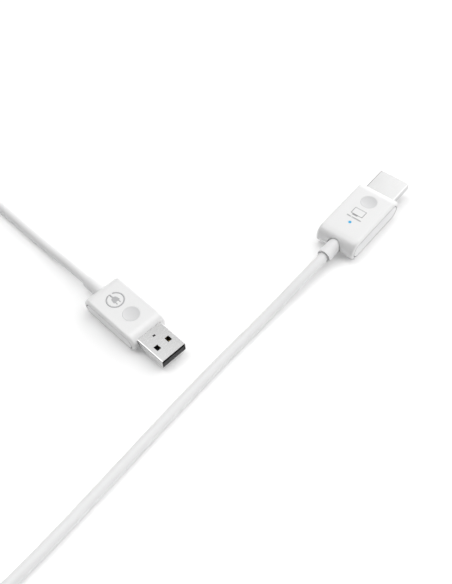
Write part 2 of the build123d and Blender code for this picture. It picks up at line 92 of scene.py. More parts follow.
from_receiver = [
    (0, -0.02535, 0.0048), (0, -0.038, 0.0048), (-0.0012, -0.061, lying),
    (-0.0024, -0.100, lying), (-0.0020, -0.143, lying), (-0.0015, -0.180, lying),
    (-0.0026, -0.205, lying), (-0.0075, -0.219, lying), (-0.0175, -0.2305, 0.00255),
    (-0.031, -0.2368, 0.0031), (-0.045, -0.2368, 0.0031),
]
to_supply = [
    (-0.09234, -0.22349, 0.00682), (-0.10448, -0.21757, 0.00682), (-0.128, -0.2045, 0.003),
    (-0.150, -0.187, lying), (-0.166, -0.164, lying), (-0.1745, -0.140, lying),
    (-0.176, -0.118, lying), (-0.171, -0.103, lying), (-0.1605, -0.0915, lying),
    (-0.146, -0.086, lying), (-0.119, -0.0889, lying), (-0.0935, -0.0913, lying),
    (-0.07797, -0.0929, 0.0041), (-0.06652, -0.09402, 0.0041),
]

# %% [markdown]
# ## The coil
# The spare middle of the cord is wound up as for storage: two turns side by side and a third
# in the groove on top of them.  A turn is a rule, not a drawing, so a loop works out its
# points.  The radius and the height change smoothly where one turn steps over to the next.

# %% Coil turns
coil_middle = Vector((-0.064, -0.211, 0))
low_layer, high_layer = 0.0031, 0.00682
outer_turn, inner_turn, top_turn = 0.0258, 0.0215, 0.02365
points_per_turn = 20
leave_after = 3 + 26 / 360


def between(value, start, end):
    """Goes smoothly from 0 to 1 as value goes from start to end."""
    part = min(max((value - start) / (end - start), 0), 1)
    return part * part * (3 - 2 * part)


def coil_point(turns):
    """A point of the coil after so many turns, clockwise seen from above."""
    radius = outer_turn + (inner_turn - outer_turn) * between(turns, 0.86, 1.1)
    radius += (top_turn - inner_turn) * between(turns, 1.88, 2.12)
    height = low_layer + (high_layer - low_layer) * between(turns, 1.84, 2.06)
    height += 0.0004 * between(turns, 2.9, 3.0)
    angle = -pi / 2 - 2 * pi * turns
    radius /= cos(pi / points_per_turn)
    return coil_middle + Vector((radius * cos(angle), radius * sin(angle), height))


coil_steps = int(leave_after * points_per_turn)
coil = [tuple(coil_point(step / points_per_turn)) for step in range(coil_steps + 1)]
print("coil has", len(coil), "points")

# %% Cord curve
curve = bpy.data.curves.new("cord", "CURVE")
curve.dimensions = "3D"
curve.bevel_depth = cord_width / 2
curve.bevel_resolution = 6
curve.resolution_u = 8
curve.use_fill_caps = True
line = curve.splines.new("NURBS")
route = from_receiver + coil + to_supply
line.points.add(len(route) - 1)
for point, place in zip(line.points, route):
    point.co = (*place, 1)
line.order_u = 3
line.use_endpoint_u = True
cord = bpy.data.objects.new("cord", curve)
bpy.context.collection.objects.link(cord)
print("cord follows", len(route), "points")

# %% [markdown]
# ## Shader maths in plain Python
# A material is a small machine of nodes.  Wiring each node by hand hides the idea, so one class
# wraps a socket and lets Python's own operators add the Math nodes.  A second class adds every
# other node with one call: its type, its settings and what goes into its sockets.

# %% Sockets that take operators
def feed(tree, entry, value):
    """Links a signal to a socket, or sets the socket's own value."""
    if isinstance(value, Signal):
        tree.links.new(value.socket, entry)
    else:
        entry.default_value = value


class Signal:
    """A node's output, which can be added, multiplied and compared."""

    def __init__(self, socket):
        self.socket = socket

    def maths(self, operation, first, second):
        tree = self.socket.id_data
        node = tree.nodes.new("ShaderNodeMath")
        node.operation = operation
        feed(tree, node.inputs[0], first)
        feed(tree, node.inputs[1], second)
        return Signal(node.outputs[0])

    def __add__(self, other):
        return self.maths("ADD", self, other)

    def __radd__(self, other):
        return self.maths("ADD", other, self)

    def __sub__(self, other):
        return self.maths("SUBTRACT", self, other)

    def __rsub__(self, other):
        return self.maths("SUBTRACT", other, self)

    def __mul__(self, other):
        return self.maths("MULTIPLY", self, other)

    def __rmul__(self, other):
        return self.maths("MULTIPLY", other, self)

    def __gt__(self, other):
        return self.maths("GREATER_THAN", self, other)

    def __lt__(self, other):
        return self.maths("LESS_THAN", self, other)


# %% One call for any node
class Bench:
    """A node tree that grows by one node for each call."""

    def __init__(self, tree):
        self.tree = tree

    def add(self, kind, settings=None, sockets=None, output=0):
        node = self.tree.nodes.new(kind)
        for name, value in (settings or {}).items():
            if name == "stops":
                for stop, (position, colour) in zip(node.color_ramp.elements, value):
                    stop.position, stop.color = position, colour
            else:
                setattr(node, name, value)
        for key, value in (sockets or {}).items():
            named = [entry for entry in node.inputs if entry.identifier == key]
            feed(self.tree, named[0] if named else node.inputs[key], value)
        return Signal(node.outputs[output]) if len(node.outputs) else node

    def mix(self, mask, first, second):
        """One colour where the mask is 0, the other where it is 1."""
        first, second = (c if isinstance(c, Signal) else (*c, 1) for c in (first, second))
        return self.add("ShaderNodeMix", {"data_type": "RGBA"},
                        {"Factor_Float": mask, "A_Color": first, "B_Color": second}, 2)

    def noise(self, place, grains_per_metre, detail=2.0):
        return self.add("ShaderNodeTexNoise", None,
                        {"Vector": place, "Scale": grains_per_metre, "Detail": detail})


# %% [markdown]
# ## What every finish shares
# Each finish starts from the Principled shader.  Numbers that are the same all over go straight
# on its sockets.  Only what changes over the surface is wired: colour, roughness and a bump.
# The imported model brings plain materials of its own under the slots' names, so a finish keeps
# hold of the material that it made and is never looked up by its name.

# %% Start and close a finish
def finish(name, colour, roughness, bump=None, bump_depth=0.00001, **constants):
    """Closes a finish: wires what varies, sets what doesn't, and returns the material."""
    material, bench = begun[name]
    tree = bench.tree
    shader = tree.nodes.new("ShaderNodeBsdfPrincipled")
    out = tree.nodes.new("ShaderNodeOutputMaterial")
    tree.links.new(shader.outputs[0], out.inputs["Surface"])
    feed(tree, shader.inputs["Base Color"], colour if isinstance(colour, Signal) else (*colour, 1))
    feed(tree, shader.inputs["Roughness"], roughness)
    for key, value in constants.items():
        feed(tree, shader.inputs[key.replace("_", " ")], value)
    if bump is not None:
        normal = bench.add("ShaderNodeBump", None, {"Height": bump, "Distance": bump_depth})
        feed(tree, shader.inputs["Normal"], normal)
    return material


begun = {}


def begin(name):
    """An empty finish, and the place on the surface that its patterns follow."""
    material = bpy.data.materials.new(name + "_finish")
    material.use_nodes = True
    material.node_tree.nodes.clear()
    bench = Bench(material.node_tree)
    begun[name] = (material, bench)
    return bench, bench.add("ShaderNodeTexCoord", None, None, "Object")


# %% [markdown]
# ## White mouldings
# The housings are white ABS with a soft gloss.  A real moulding is never one flat white: its
# tone drifts a little where the melt flowed, and the tool leaves a very fine spark texture.

# %% White finishes
def moulded_white(name, tone, gloss, grain_size, **constants):
    bench, place = begin(name)
    flow = bench.noise(place, 70)
    grain = bench.noise(place, 1 / grain_size, 3.0)
    dark = tuple(value * 0.985 for value in tone)
    colour = bench.mix(flow, dark, tone)
    return finish(name, colour, gloss + (grain - 0.5) * 0.12, grain, grain_size * 0.03, **constants)


looks = {
    "white_shell": moulded_white("white_shell", (0.82, 0.82, 0.82), 0.34, 0.00016,
                                 Coat_Weight=0.5, Coat_Roughness=0.12),
    "white_plate": moulded_white("white_plate", (0.82, 0.82, 0.823), 0.30, 0.00012,
                                 Coat_Weight=0.5, Coat_Roughness=0.12),
    "white_collar": moulded_white("white_collar", (0.80, 0.80, 0.802), 0.48, 0.00022),
    "white_jacket": moulded_white("white_jacket", (0.80, 0.80, 0.802), 0.46, 0.00025),
}
print(len(looks), "white finishes")


# %% Metal finishes
def metal(name, tone, gloss, lines_per_metre, along, depth):
    """A metal with fine lines: along squeezes the noise, so it draws out into lines."""
    bench, place = begin(name)
    stretched = bench.add("ShaderNodeMapping", {"vector_type": "POINT"},
                          {"Vector": place, "Scale": along})
    lines = bench.noise(stretched, lines_per_metre, 3.0)
    patch = bench.noise(place, 160)
    colour = bench.mix(patch, tuple(value * 0.94 for value in tone), tone)
    return finish(name, colour, gloss + (lines - 0.5) * 0.1, lines, depth, Metallic=1.0)


looks["plug_steel"] = metal("plug_steel", (0.65, 0.65, 0.65), 0.26, 6000, (1, 0.06, 1), 0.000002)
looks["contact_gold"] = metal(
    "contact_gold", (0.83, 0.61, 0.27), 0.26, 6000, (1, 0.06, 1), 0.000002)
looks["shield_tin"] = metal("shield_tin", (0.62, 0.62, 0.63), 0.34, 3000, (1, 1, 1), 0.000004)
looks["spreader_aluminium"] = metal(
    "spreader_aluminium", (0.70, 0.71, 0.72), 0.38, 5000, (1, 0.04, 1), 0.000004)
looks["crimp_metal"] = metal(
    "crimp_metal", (0.60, 0.60, 0.61), 0.32, 5000, (0.05, 1, 0.05), 0.000004)


# %% Small plastics, ceramics and rubber
def grained(name, tone, second, gloss, grains_per_metre, depth, **constants):
    bench, place = begin(name)
    grain = bench.noise(place, grains_per_metre, 4.0)
    colour = bench.mix(grain, tone, second)
    return finish(name, colour, gloss + (grain - 0.5) * 0.16, grain, depth, **constants)


looks["black_insulator"] = grained(
    "black_insulator", (0.012, 0.012, 0.013), (0.022, 0.022, 0.024), 0.5, 5000, 0.000004)
looks["chip_black"] = grained(
    "chip_black", (0.018, 0.018, 0.019), (0.034, 0.034, 0.036), 0.6, 9000, 0.000006)
looks["ceramic"] = grained("ceramic", (0.46, 0.35, 0.22), (0.58, 0.46, 0.31), 0.5, 7000, 0.000004)
looks["pad_grey"] = grained("pad_grey", (0.22, 0.25, 0.32), (0.30, 0.33, 0.40), 0.75, 4000, 0.00001)
looks["core_white"] = grained(
    "core_white", (0.62, 0.62, 0.58), (0.74, 0.74, 0.70), 0.7, 3000, 0.00001)
looks["wire_red"] = grained(
    "wire_red", (0.45, 0.02, 0.015), (0.55, 0.03, 0.02), 0.42, 3000, 0.000004)
looks["wire_black"] = grained(
    "wire_black", (0.012, 0.012, 0.012), (0.025, 0.025, 0.025), 0.42, 3000, 0.000004)
looks["board_green"] = grained(
    "board_green", (0.008, 0.075, 0.03), (0.015, 0.12, 0.05), 0.3, 1500, 0.00001)
looks["pipe_clear"] = grained(
    "pipe_clear", (0.05, 0.41, 0.68), (0.06, 0.44, 0.73), 0.3, 1800, 0.000004,
                              Emission_Color=(0.0, 0.26, 0.75, 1), Emission_Strength=0.1,
                              Specular_IOR_Level=0.15)
looks["light_blue"] = grained(
    "light_blue", (0.12, 0.55, 0.90), (0.3, 0.7, 0.95), 0.3, 1800, 0.000004,
                              Emission_Color=(0.12, 0.55, 0.9, 1), Emission_Strength=1.0)

# %% Print, pad and strap finishes
looks["printed_grey"] = grained(
    "printed_grey", (0.42, 0.42, 0.43), (0.48, 0.48, 0.49), 0.55, 4000, 0.000003)
looks["printed_dark"] = grained(
    "printed_dark", (0.16, 0.16, 0.165), (0.20, 0.20, 0.205), 0.55, 4000, 0.000003)
# Painted shade: a dark line that stands for the shade deep in the open groove round each side plate.
looks["groove_shade_line"] = grained(
    "groove_shade_line", (0.10, 0.10, 0.105), (0.14, 0.14, 0.145), 0.7, 4000, 0.000003)
looks["finger_pad"] = grained(
    "finger_pad", (0.65, 0.65, 0.655), (0.69, 0.69, 0.695), 0.5, 5000, 0.000006)


def woven_strap(name, tone, rows_per_metre):
    """A woven strap: the raised threads cross in a checker that follows the strap's own map, and the colour
    is darker low between them as painted shade.
    """
    bench, place = begin(name)
    strap_map = bench.add("ShaderNodeUVMap", {"uv_map": "along"})
    across = bench.add("ShaderNodeTexWave", {"bands_direction": "X", "wave_profile": "SIN"},
                       {"Vector": strap_map, "Scale": rows_per_metre, "Distortion": 0.6}, "Fac")
    along = bench.add("ShaderNodeTexWave", {"bands_direction": "Y", "wave_profile": "SIN"},
                      {"Vector": strap_map, "Scale": rows_per_metre, "Distortion": 0.6}, "Fac")
    fuzz = bench.noise(place, 9000, 3.0)
    raised = across * along + fuzz * 0.35
    # Painted shade: the colour darkens where the weave lies low between the threads; the fibre fuzz adds a
    # random tone.
    colour = bench.mix(raised, tuple(value * 0.72 for value in tone), tone)
    return finish(name, colour, 0.82 + raised * 0.1, raised, 0.00012, Sheen_Weight=0.3)


looks["tie_fabric"] = woven_strap("tie_fabric", (0.40, 0.40, 0.41), 520)
looks["tie_thread"] = grained(
    "tie_thread", (0.24, 0.24, 0.25), (0.32, 0.32, 0.33), 0.7, 6000, 0.00001)
print(len(looks), "finishes")

# %% Dress the model's parts
slots = {entry["node"]: entry["material_slot"] for entry in frame["record"]["subparts"]}
for name, node in nodes.items():
    node.data.materials.clear()
    node.data.materials.append(looks[slots[name]])
plain = [name for name, node in nodes.items()
         if len(node.data.materials[0].node_tree.nodes) < 4]
print("parts left plain:", plain)
cord.data.materials.append(looks["white_jacket"])

# %% [markdown]
# ## Where each head lies
# The marks on a head are drawn flat, in millimetres from the head's nose: y runs towards the
# tip of its plug.  One matrix for each head then lays them on its top face.

# %% Head frames
mm = 0.001
receiver_place = Matrix.Translation((0, 0.01555, 0))
supply_place = Matrix.Translation((-0.030, -0.0976, 0)) @ Matrix.Rotation(radians(-95.6), 4, "Z")
receiver_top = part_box("receiver_top_shell")[1][2]
supply_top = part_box("supply_top_shell")[1][2]
print("top faces at", round(receiver_top / mm, 2), "and", round(supply_top / mm, 2), "mm")


def settle(piece, name, place):
    """Turns a piece with its modifiers into a plain mesh, laid where it belongs."""
    bpy.context.view_layer.update()
    graph = bpy.context.evaluated_depsgraph_get()
    mesh = bpy.data.meshes.new_from_object(piece.evaluated_get(graph))
    bpy.data.objects.remove(piece)
    mesh.name = name
    mesh.transform(place)
    finish_worn = [material for material in mesh.materials if material][0]
    mesh.materials.clear()
    mesh.materials.append(finish_worn)
    mesh.polygons.foreach_set("material_index", [0] * len(mesh.polygons))
    settled = bpy.data.objects.new(name, mesh)
    bpy.context.collection.objects.link(settled)
    print(name, len(mesh.polygons), "faces")
    return settled


# %% [markdown]
# ## Printed lines
# A printed line is a path with a width.  Drawing its outline by hand would hide that, so a
# Geometry Nodes tree sweeps a very thin ink section along the path.  Its width, ink and corner
# radius are named inputs, and the same tree prints every line on both heads.

# %% Start a Geometry Nodes tree
def new_tree(name, inputs):
    """An empty tree with a geometry in and out, named number inputs and its group nodes."""
    tree = bpy.data.node_groups.new(name, "GeometryNodeTree")
    tree.interface.new_socket("Geometry", in_out="INPUT", socket_type="NodeSocketGeometry")
    tree.interface.new_socket("Geometry", in_out="OUTPUT", socket_type="NodeSocketGeometry")
    for label, kind in inputs:
        tree.interface.new_socket(label, in_out="INPUT", socket_type="NodeSocket" + kind)
    bench = Bench(tree)
    entry = tree.nodes.new("NodeGroupInput")
    given = {socket.name: Signal(socket) for socket in entry.outputs if socket.name}
    return bench, given


def close_tree(bench, geometry, material):
    """Ends a tree: instances become real, and everything gets its finish."""
    real = bench.add("GeometryNodeRealizeInstances", None, {"Geometry": geometry})
    dressed = bench.add("GeometryNodeSetMaterial", None, {"Geometry": real, "Material": material})
    out = bench.tree.nodes.new("NodeGroupOutput")
    feed(bench.tree, out.inputs[0], dressed)
    return bench.tree


def run_tree(piece, tree, values):
    """Puts the tree on a piece and sets its inputs by their identifiers."""
    modifier = piece.modifiers.new(tree.name, "NODES")
    modifier.node_group = tree
    for socket in tree.interface.items_tree:
        if socket.in_out == "INPUT" and socket.name in values:
            modifier[socket.identifier] = values[socket.name]
    return piece


# %% Line tree and patch tree
bench, given = new_tree("printed line", [("Line Width", "Float"), ("Ink", "Float"),
                                         ("Corner Radius", "Float")])
rounded = bench.add("GeometryNodeFilletCurve", None,
                    {"Curve": given["Geometry"], "Radius": given["Corner Radius"], "Limit Radius": True})
bench.tree.nodes[-1].mode = "POLY"
bench.tree.nodes[-1].inputs["Count"].default_value = 4
level = bench.add("GeometryNodeSetCurveNormal", {"mode": "Z_UP"}, {"Curve": rounded})
section = bench.add("GeometryNodeCurvePrimitiveQuadrilateral", None,
                    {"Width": given["Line Width"], "Height": given["Ink"]})
swept = bench.add("GeometryNodeCurveToMesh", None,
                  {"Curve": level, "Profile Curve": section, "Fill Caps": True})
line_tree = close_tree(bench, swept, looks["printed_grey"])

bench, given = new_tree("printed patch", [("Ink", "Float")])
filled = bench.add("GeometryNodeFillCurve", {"mode": "NGONS"}, {"Curve": given["Geometry"]})
up = bench.add("ShaderNodeCombineXYZ", None, {"Z": given["Ink"]})
raised = bench.add("GeometryNodeExtrudeMesh", {"mode": "FACES"},
                   {"Mesh": filled, "Offset": up, "Individual": False})
under = bench.add("GeometryNodeFlipFaces", None, {"Mesh": filled})
both = bench.tree.nodes.new("GeometryNodeJoinGeometry")
bench.tree.links.new(raised.socket, both.inputs[0])
bench.tree.links.new(under.socket, both.inputs[0])
merged = bench.add("GeometryNodeMergeByDistance", None,
                   {"Geometry": Signal(both.outputs[0]), "Distance": 1e-7})
patch_tree = close_tree(bench, merged, looks["printed_grey"])


def strokes(name, paths, height, closed=False):
    """A curve object of straight strokes, from points in millimetres at one height."""
    drawing = bpy.data.curves.new(name, "CURVE")
    drawing.dimensions = "3D"
    for path in paths:
        stroke = drawing.splines.new("POLY")
        stroke.points.add(len(path) - 1)
        for point, (x, y) in zip(stroke.points, path):
            point.co = (x * mm, y * mm, height, 1)
        stroke.use_cyclic_u = closed
    piece = bpy.data.objects.new(name, drawing)
    bpy.context.collection.objects.link(piece)
    return piece


def arc(middle, radius, start, end, steps):
    """Points of an arc in millimetres; the angles are in degrees."""
    angles = [radians(start + (end - start) * step / steps) for step in range(steps + 1)]
    return [(middle[0] + radius * cos(angle), middle[1] + radius * sin(angle))
            for angle in angles]


# %% [markdown]
# ## The marks on the heads
# The receiver shows the outline of a screen on a short stand, and the supply head a ring that
# turns into the lead of a small mains plug.  Both are drawn here as plain signs of our own.

# %% Screen and ring
ink = 0.00002
screen = strokes("screen_sign", [[(-2.65, -15.4), (2.65, -15.4), (2.65, -18.9), (-2.65, -18.9)]],
                 receiver_top, closed=True)
run_tree(screen, line_tree, {"Line Width": 0.22 * mm, "Ink": ink, "Corner Radius": 0.05 * mm})
marks = {"screen_sign": settle(screen, "screen_sign", receiver_place)}

ring_middle = (0, -19.95)
ring = strokes("ring_sign", [arc(ring_middle, 3.5, -76, 253, 96),
                             arc((0.42, -23.0), 0.42, -60, -240, 8) + [(0.05, -22.3), (0, -21.6)]],
               supply_top)
run_tree(ring, line_tree, {"Line Width": 0.62 * mm, "Ink": ink, "Corner Radius": 0.0})
marks["ring_sign"] = settle(ring, "ring_sign", supply_place)

prongs = strokes("prong_sign", [[(side * 0.78, -19.0), (side * 0.78, -17.7)] for side in (-1, 1)], supply_top)
run_tree(prongs, line_tree, {"Line Width": 0.45 * mm, "Ink": ink, "Corner Radius": 0.0})
marks["prong_sign"] = settle(prongs, "prong_sign", supply_place)

body = strokes("plug_sign", [[(1.55, -18.95), (-1.55, -18.95)] + arc((0, -20.3), 1.35, 180, 360, 16)],
              0.0, closed=True)
run_tree(body, patch_tree, {"Ink": ink})
lifted = supply_place @ Matrix.Translation((0, 0, supply_top - ink / 2))
marks["plug_sign"] = settle(body, "plug_sign", lifted)
print("sign body at", round(max(v.co.z for v in marks["plug_sign"].data.vertices) / mm, 3), "mm")

# %% [markdown]
# ## Rows of ticks
# Under the screen there is a short hatched stand and a thin line of small marks.  A tick is one
# small block, so a tree lays a row of points, leaves some out and puts a block on each.

# %% Tick tree
bench, given = new_tree("tick row", [("Count", "Int"), ("Pitch", "Float"), ("Tick Width", "Float"),
                                     ("Tick Length", "Float"), ("Ink", "Float"), ("Skip", "Int"),
                                     ("Slant", "Float")])
step_along = bench.add("ShaderNodeCombineXYZ", None, {"X": given["Pitch"]})
row = bench.add("GeometryNodeMeshLine", {"mode": "OFFSET"},
                {"Count": given["Count"], "Offset": step_along})
index = bench.add("GeometryNodeInputIndex")
skipped = bench.add("FunctionNodeCompare", {"data_type": "INT", "operation": "EQUAL"},
                    {"A_INT": index, "B_INT": given["Skip"]})
kept = bench.add("GeometryNodeDeleteGeometry", {"domain": "POINT"}, {"Geometry": row, "Selection": skipped})
size = bench.add("ShaderNodeCombineXYZ", None,
                 {"X": given["Tick Width"], "Y": given["Tick Length"], "Z": given["Ink"]})
tick = bench.add("GeometryNodeMeshCube", None, {"Size": size})
leaning = bench.add("ShaderNodeCombineXYZ", None, {"Z": given["Slant"]})
turned = bench.add("FunctionNodeEulerToRotation", None, {"Euler": leaning})
ticks = bench.add("GeometryNodeInstanceOnPoints", None,
                  {"Points": kept, "Instance": tick, "Rotation": turned})
tick_tree = close_tree(bench, ticks, looks["printed_grey"])


def tick_row(name, start, values, place, top):
    """A row of printed ticks that starts at a point in millimetres from the nose."""
    piece = bpy.data.objects.new(name, bpy.data.meshes.new(name))
    bpy.context.collection.objects.link(piece)
    run_tree(piece, tick_tree, values)
    shift = Matrix.Translation((start[0] * mm, start[1] * mm, top))
    return settle(piece, name, place @ shift)


# %% Stand and index line
marks["stand_sign"] = tick_row("stand_sign", (-1.55, -19.3), {
    "Count": 5, "Pitch": 0.5 * mm, "Tick Width": 0.34 * mm, "Tick Length": 0.75 * mm, "Ink": ink,
    "Skip": -1, "Slant": radians(-25)}, receiver_place, receiver_top)
marks["index_line"] = tick_row("index_line", (-3.2, -20.85), {
    "Count": 17, "Pitch": 0.4 * mm, "Tick Width": 0.24 * mm, "Tick Length": 0.62 * mm, "Ink": ink,
    "Skip": 5, "Slant": 0.0}, receiver_place, receiver_top)
for name in ("screen_sign", "stand_sign", "index_line"):
    marks[name].data.materials[0] = looks["printed_dark"]

# %% [markdown]
# ## Finger pads
# Each head has a shallow round dimple for a fingertip, lined with a thin layer a little greyer than the white
# shell.
# A disc would not follow the hollow, so the pad is turned from a profile that does.

# %% Turn the pads
def turned_piece(name, profile, segments, place):
    """Turns a profile of (radius, height) points round the vertical axis into a closed shape."""
    corners, faces = [], []
    for radius, height in profile:
        for k in range(segments):
            angle = 2 * pi * k / segments
            corners.append((radius * cos(angle), radius * sin(angle), height))
    for ring_number in range(len(profile) - 1):
        for k in range(segments):
            a, b = ring_number * segments + k, ring_number * segments + (k + 1) % segments
            faces.append((a, b, b + segments, a + segments))
    mesh = bpy.data.meshes.new(name)
    faces.append(tuple(reversed(range(segments))))
    faces.append(tuple(range((len(profile) - 1) * segments, len(profile) * segments)))
    mesh.from_pydata(corners, [], faces)
    mesh.transform(place)
    for face in mesh.polygons:
        face.use_smooth = len(face.vertices) == 4
    piece = bpy.data.objects.new(name, mesh)
    bpy.context.collection.objects.link(piece)
    return piece


dimple_radius, dimple_depth = 3.75 * mm, 0.5 * mm
ball = (dimple_radius ** 2 + dimple_depth ** 2) / (2 * dimple_depth)


def hollow(radius, lift):
    """The dimple's height at a radius, below the top face, raised by a little."""
    return ball - dimple_depth - sqrt(ball ** 2 - radius ** 2) + lift


pad_radii = [0.05, 0.6, 1.2, 1.8, 2.4, 2.9, 3.3, 3.55]
pad_profile = [(radius * mm, hollow(radius * mm, -0.00006)) for radius in pad_radii]
pad_profile += [(radius * mm, hollow(radius * mm, 0.00003)) for radius in reversed(pad_radii)]
for name, place, top, back in (("receiver_finger_pad", receiver_place, receiver_top, -9.7),
                               ("supply_finger_pad", supply_place, supply_top, -10.5)):
    pad = turned_piece(name, pad_profile, 48, place @ Matrix.Translation((0, back * mm, top)))
    pad.data.materials.append(looks["finger_pad"])
    marks[name] = pad
print("finger pads", [len(marks[n].data.polygons) for n in ("receiver_finger_pad", "supply_finger_pad")])

# %% [markdown]
# ## The strap round the coil
# A woven strap goes twice round the coil, so that its two thin layers fill the room that the
# model keeps for it.  Its path is a rule: the coil's rounded outline, moved out a little more
# with each trip.  The mesh is swept by hand, because the weave needs a map along the strap.

# %% Strap path
tie_turn = radians(62)
tie_out = Vector((cos(tie_turn), sin(tie_turn), 0))
tie_along = Vector((-sin(tie_turn), cos(tie_turn), 0))
tie_middle = coil_middle + tie_out * top_turn + Vector((0, 0, 0.00496))
half_wide, half_high, bend = 0.00445, 0.00416, 0.00215
layer = 0.0004
tie_width = 0.008


def outline(part):
    """A point of the coil's rounded outline and its outward direction, after part of a trip."""
    runs = [2 * (half_wide - bend), pi / 2 * bend, 2 * (half_high - bend), pi / 2 * bend] * 2
    left = (part % 1) * sum(runs)
    start = Vector((-(half_wide - bend), half_high))
    heading = Vector((1, 0))
    for number, run in enumerate(runs):
        outward = Vector((-heading.y, heading.x))
        go = min(left, run)
        if number % 2 == 0:
            start = start + heading * go
        else:
            angle = -go / bend
            pivot = start - outward * bend
            outward = Vector((outward.x * cos(angle) - outward.y * sin(angle),
                              outward.x * sin(angle) + outward.y * cos(angle)))
            start = pivot + outward * bend
            heading = Vector((outward.y, -outward.x))
        left -= go
        if left <= 0:
            return start, outward
    return start, outward


def strap_place(trips, lift):
    """A point over the coil's outline and its outward direction, in the object's own frame."""
    point, outward = outline(trips)
    flat = point + outward * lift
    return (tie_middle + tie_out * flat.x + Vector((0, 0, flat.y)),
            tie_out * outward.x + Vector((0, 0, outward.y)))


# %% Sweep the strap
strap_steps = 168
strap_start = 0.02
strap_trips = 1.96
strap_spots = []
for step in range(strap_steps + 1):
    trips = strap_start + strap_trips * step / strap_steps
    strap_spots.append(strap_place(trips, layer / 2 + layer * between(trips, 0.96, 1.06)))
soft_edge = 0.00008
thick = layer * 0.47
section = [(-tie_width / 2, 0), (-tie_width / 2 + soft_edge, thick), (tie_width / 2 - soft_edge, thick),
           (tie_width / 2, 0), (tie_width / 2 - soft_edge, -thick), (-tie_width / 2 + soft_edge, -thick)]
corners, faces = [], []
for spot, outward in strap_spots:
    corners += [spot + tie_along * across + outward * out_by for across, out_by in section]
sides = len(section)
for step in range(strap_steps):
    for side in range(sides):
        a, b = step * sides + side, step * sides + (side + 1) % sides
        faces.append((a, b, b + sides, a + sides))
faces.append(tuple(reversed(range(sides))))
faces.append(tuple(range(strap_steps * sides, (strap_steps + 1) * sides)))
strap_mesh = bpy.data.meshes.new("woven_tie")
strap_mesh.from_pydata(corners, [], faces)
trip_length = sum((strap_spots[k + 1][0] - strap_spots[k][0]).length for k in range(strap_steps))
strap_map = strap_mesh.uv_layers.new(name="along")
for face in strap_mesh.polygons:
    for corner in face.loop_indices:
        vertex = strap_mesh.loops[corner].vertex_index
        strap_map.data[corner].uv = (vertex // sides / strap_steps * trip_length,
                                     section[vertex % sides][0])
checker = bmesh.new()
checker.from_mesh(strap_mesh)
bmesh.ops.recalc_face_normals(checker, faces=checker.faces)
checker.to_mesh(strap_mesh)
checker.free()
woven_tie = bpy.data.objects.new("woven_tie", strap_mesh)
bpy.context.collection.objects.link(woven_tie)
strap_mesh.materials.append(looks["tie_fabric"])
print("strap", round(trip_length / mm), "mm long,", len(strap_mesh.polygons), "faces, z",
      [round(f(v.co.z for v in strap_mesh.vertices) / mm, 2) for f in (min, max)])

# %% [markdown]
# ## Stitches on the strap
# Two rows of stitches hold the strap's edges.  A stitch is one small rounded block, and a tree
# sets one at every step along a path, turned to lie along it.

# %% Stitch tree
bench, given = new_tree("stitch row", [("Pitch", "Float"), ("Stitch Length", "Float"),
                                       ("Thread", "Float")])
spots = bench.tree.nodes.new("GeometryNodeCurveToPoints")
spots.mode = "LENGTH"
feed(bench.tree, spots.inputs["Curve"], given["Geometry"])
feed(bench.tree, spots.inputs["Length"], given["Pitch"])
stitch = bench.add("GeometryNodeMeshUVSphere", None, {"Segments": 8, "Rings": 5, "Radius": 0.5})
shape = bench.add("ShaderNodeCombineXYZ", None,
                  {"X": given["Thread"], "Y": given["Thread"], "Z": given["Stitch Length"]})
rows = bench.add("GeometryNodeInstanceOnPoints", None, {
    "Points": Signal(spots.outputs["Points"]), "Instance": stitch,
    "Rotation": Signal(spots.outputs["Rotation"]), "Scale": shape})
stitch_tree = close_tree(bench, rows, looks["tie_thread"])

# %% Sew both edges
sewing = bpy.data.curves.new("tie_stitches", "CURVE")
sewing.dimensions = "3D"
seam_steps = 60
sewn_from, sewn_for = 0.86, 0.52
edge_of_strap = 0.0032
for side in (-1, 1):
    thread_line = sewing.splines.new("POLY")
    thread_line.points.add(seam_steps)
    for step, point in enumerate(thread_line.points):
        spot, _ = strap_place(sewn_from + sewn_for * step / seam_steps, 1.94 * layer)
        point.co = (*(spot + tie_along * side * edge_of_strap), 1)
tie_stitches = bpy.data.objects.new("tie_stitches", sewing)
bpy.context.collection.objects.link(tie_stitches)
run_tree(tie_stitches, stitch_tree,
         {"Pitch": 0.9 * mm, "Stitch Length": 0.62 * mm, "Thread": 0.16 * mm})
tie_stitches = settle(tie_stitches, "tie_stitches", Matrix.Identity(4))

# %% [markdown]
# ## Painted shade round each side plate
# Each side plate sits in a narrow open groove, and a fine dark line in it is painted shade, as a
# deep groove would look.  The line follows the plate's own outline, so it is worked out from the
# plate's mesh: flatten the corners to the side, keep the outermost ones, and move them out to the middle of
# the groove.

# %% Painted shade lines in the grooves
groove = 0.4 * mm
line_depth = 0.08 * mm


def plate_outline(name, place):
    """A plate's outline in its head's y and z, and the x of its outer face."""
    back = place.inverted()
    corners = [back @ v.co for v in nodes[name].data.vertices]
    flat = [Vector((v.y, v.z)) for v in corners]
    ring = [flat[k] for k in convex_hull_2d(flat)]
    ring = [p for k, p in enumerate(ring) if (p - ring[k - 1]).length > 0.05 * mm]
    moved = []
    for k, point in enumerate(ring):
        before = (point - ring[k - 1]).normalized()
        after = (ring[(k + 1) % len(ring)] - point).normalized()
        out = Vector((before.y + after.y, -before.x - after.x)).normalized()
        moved.append(point + out * groove / 2)
    side = 1 if sum(v.x for v in corners) > 0 else -1
    return moved, side * max(abs(v.x) for v in corners), side


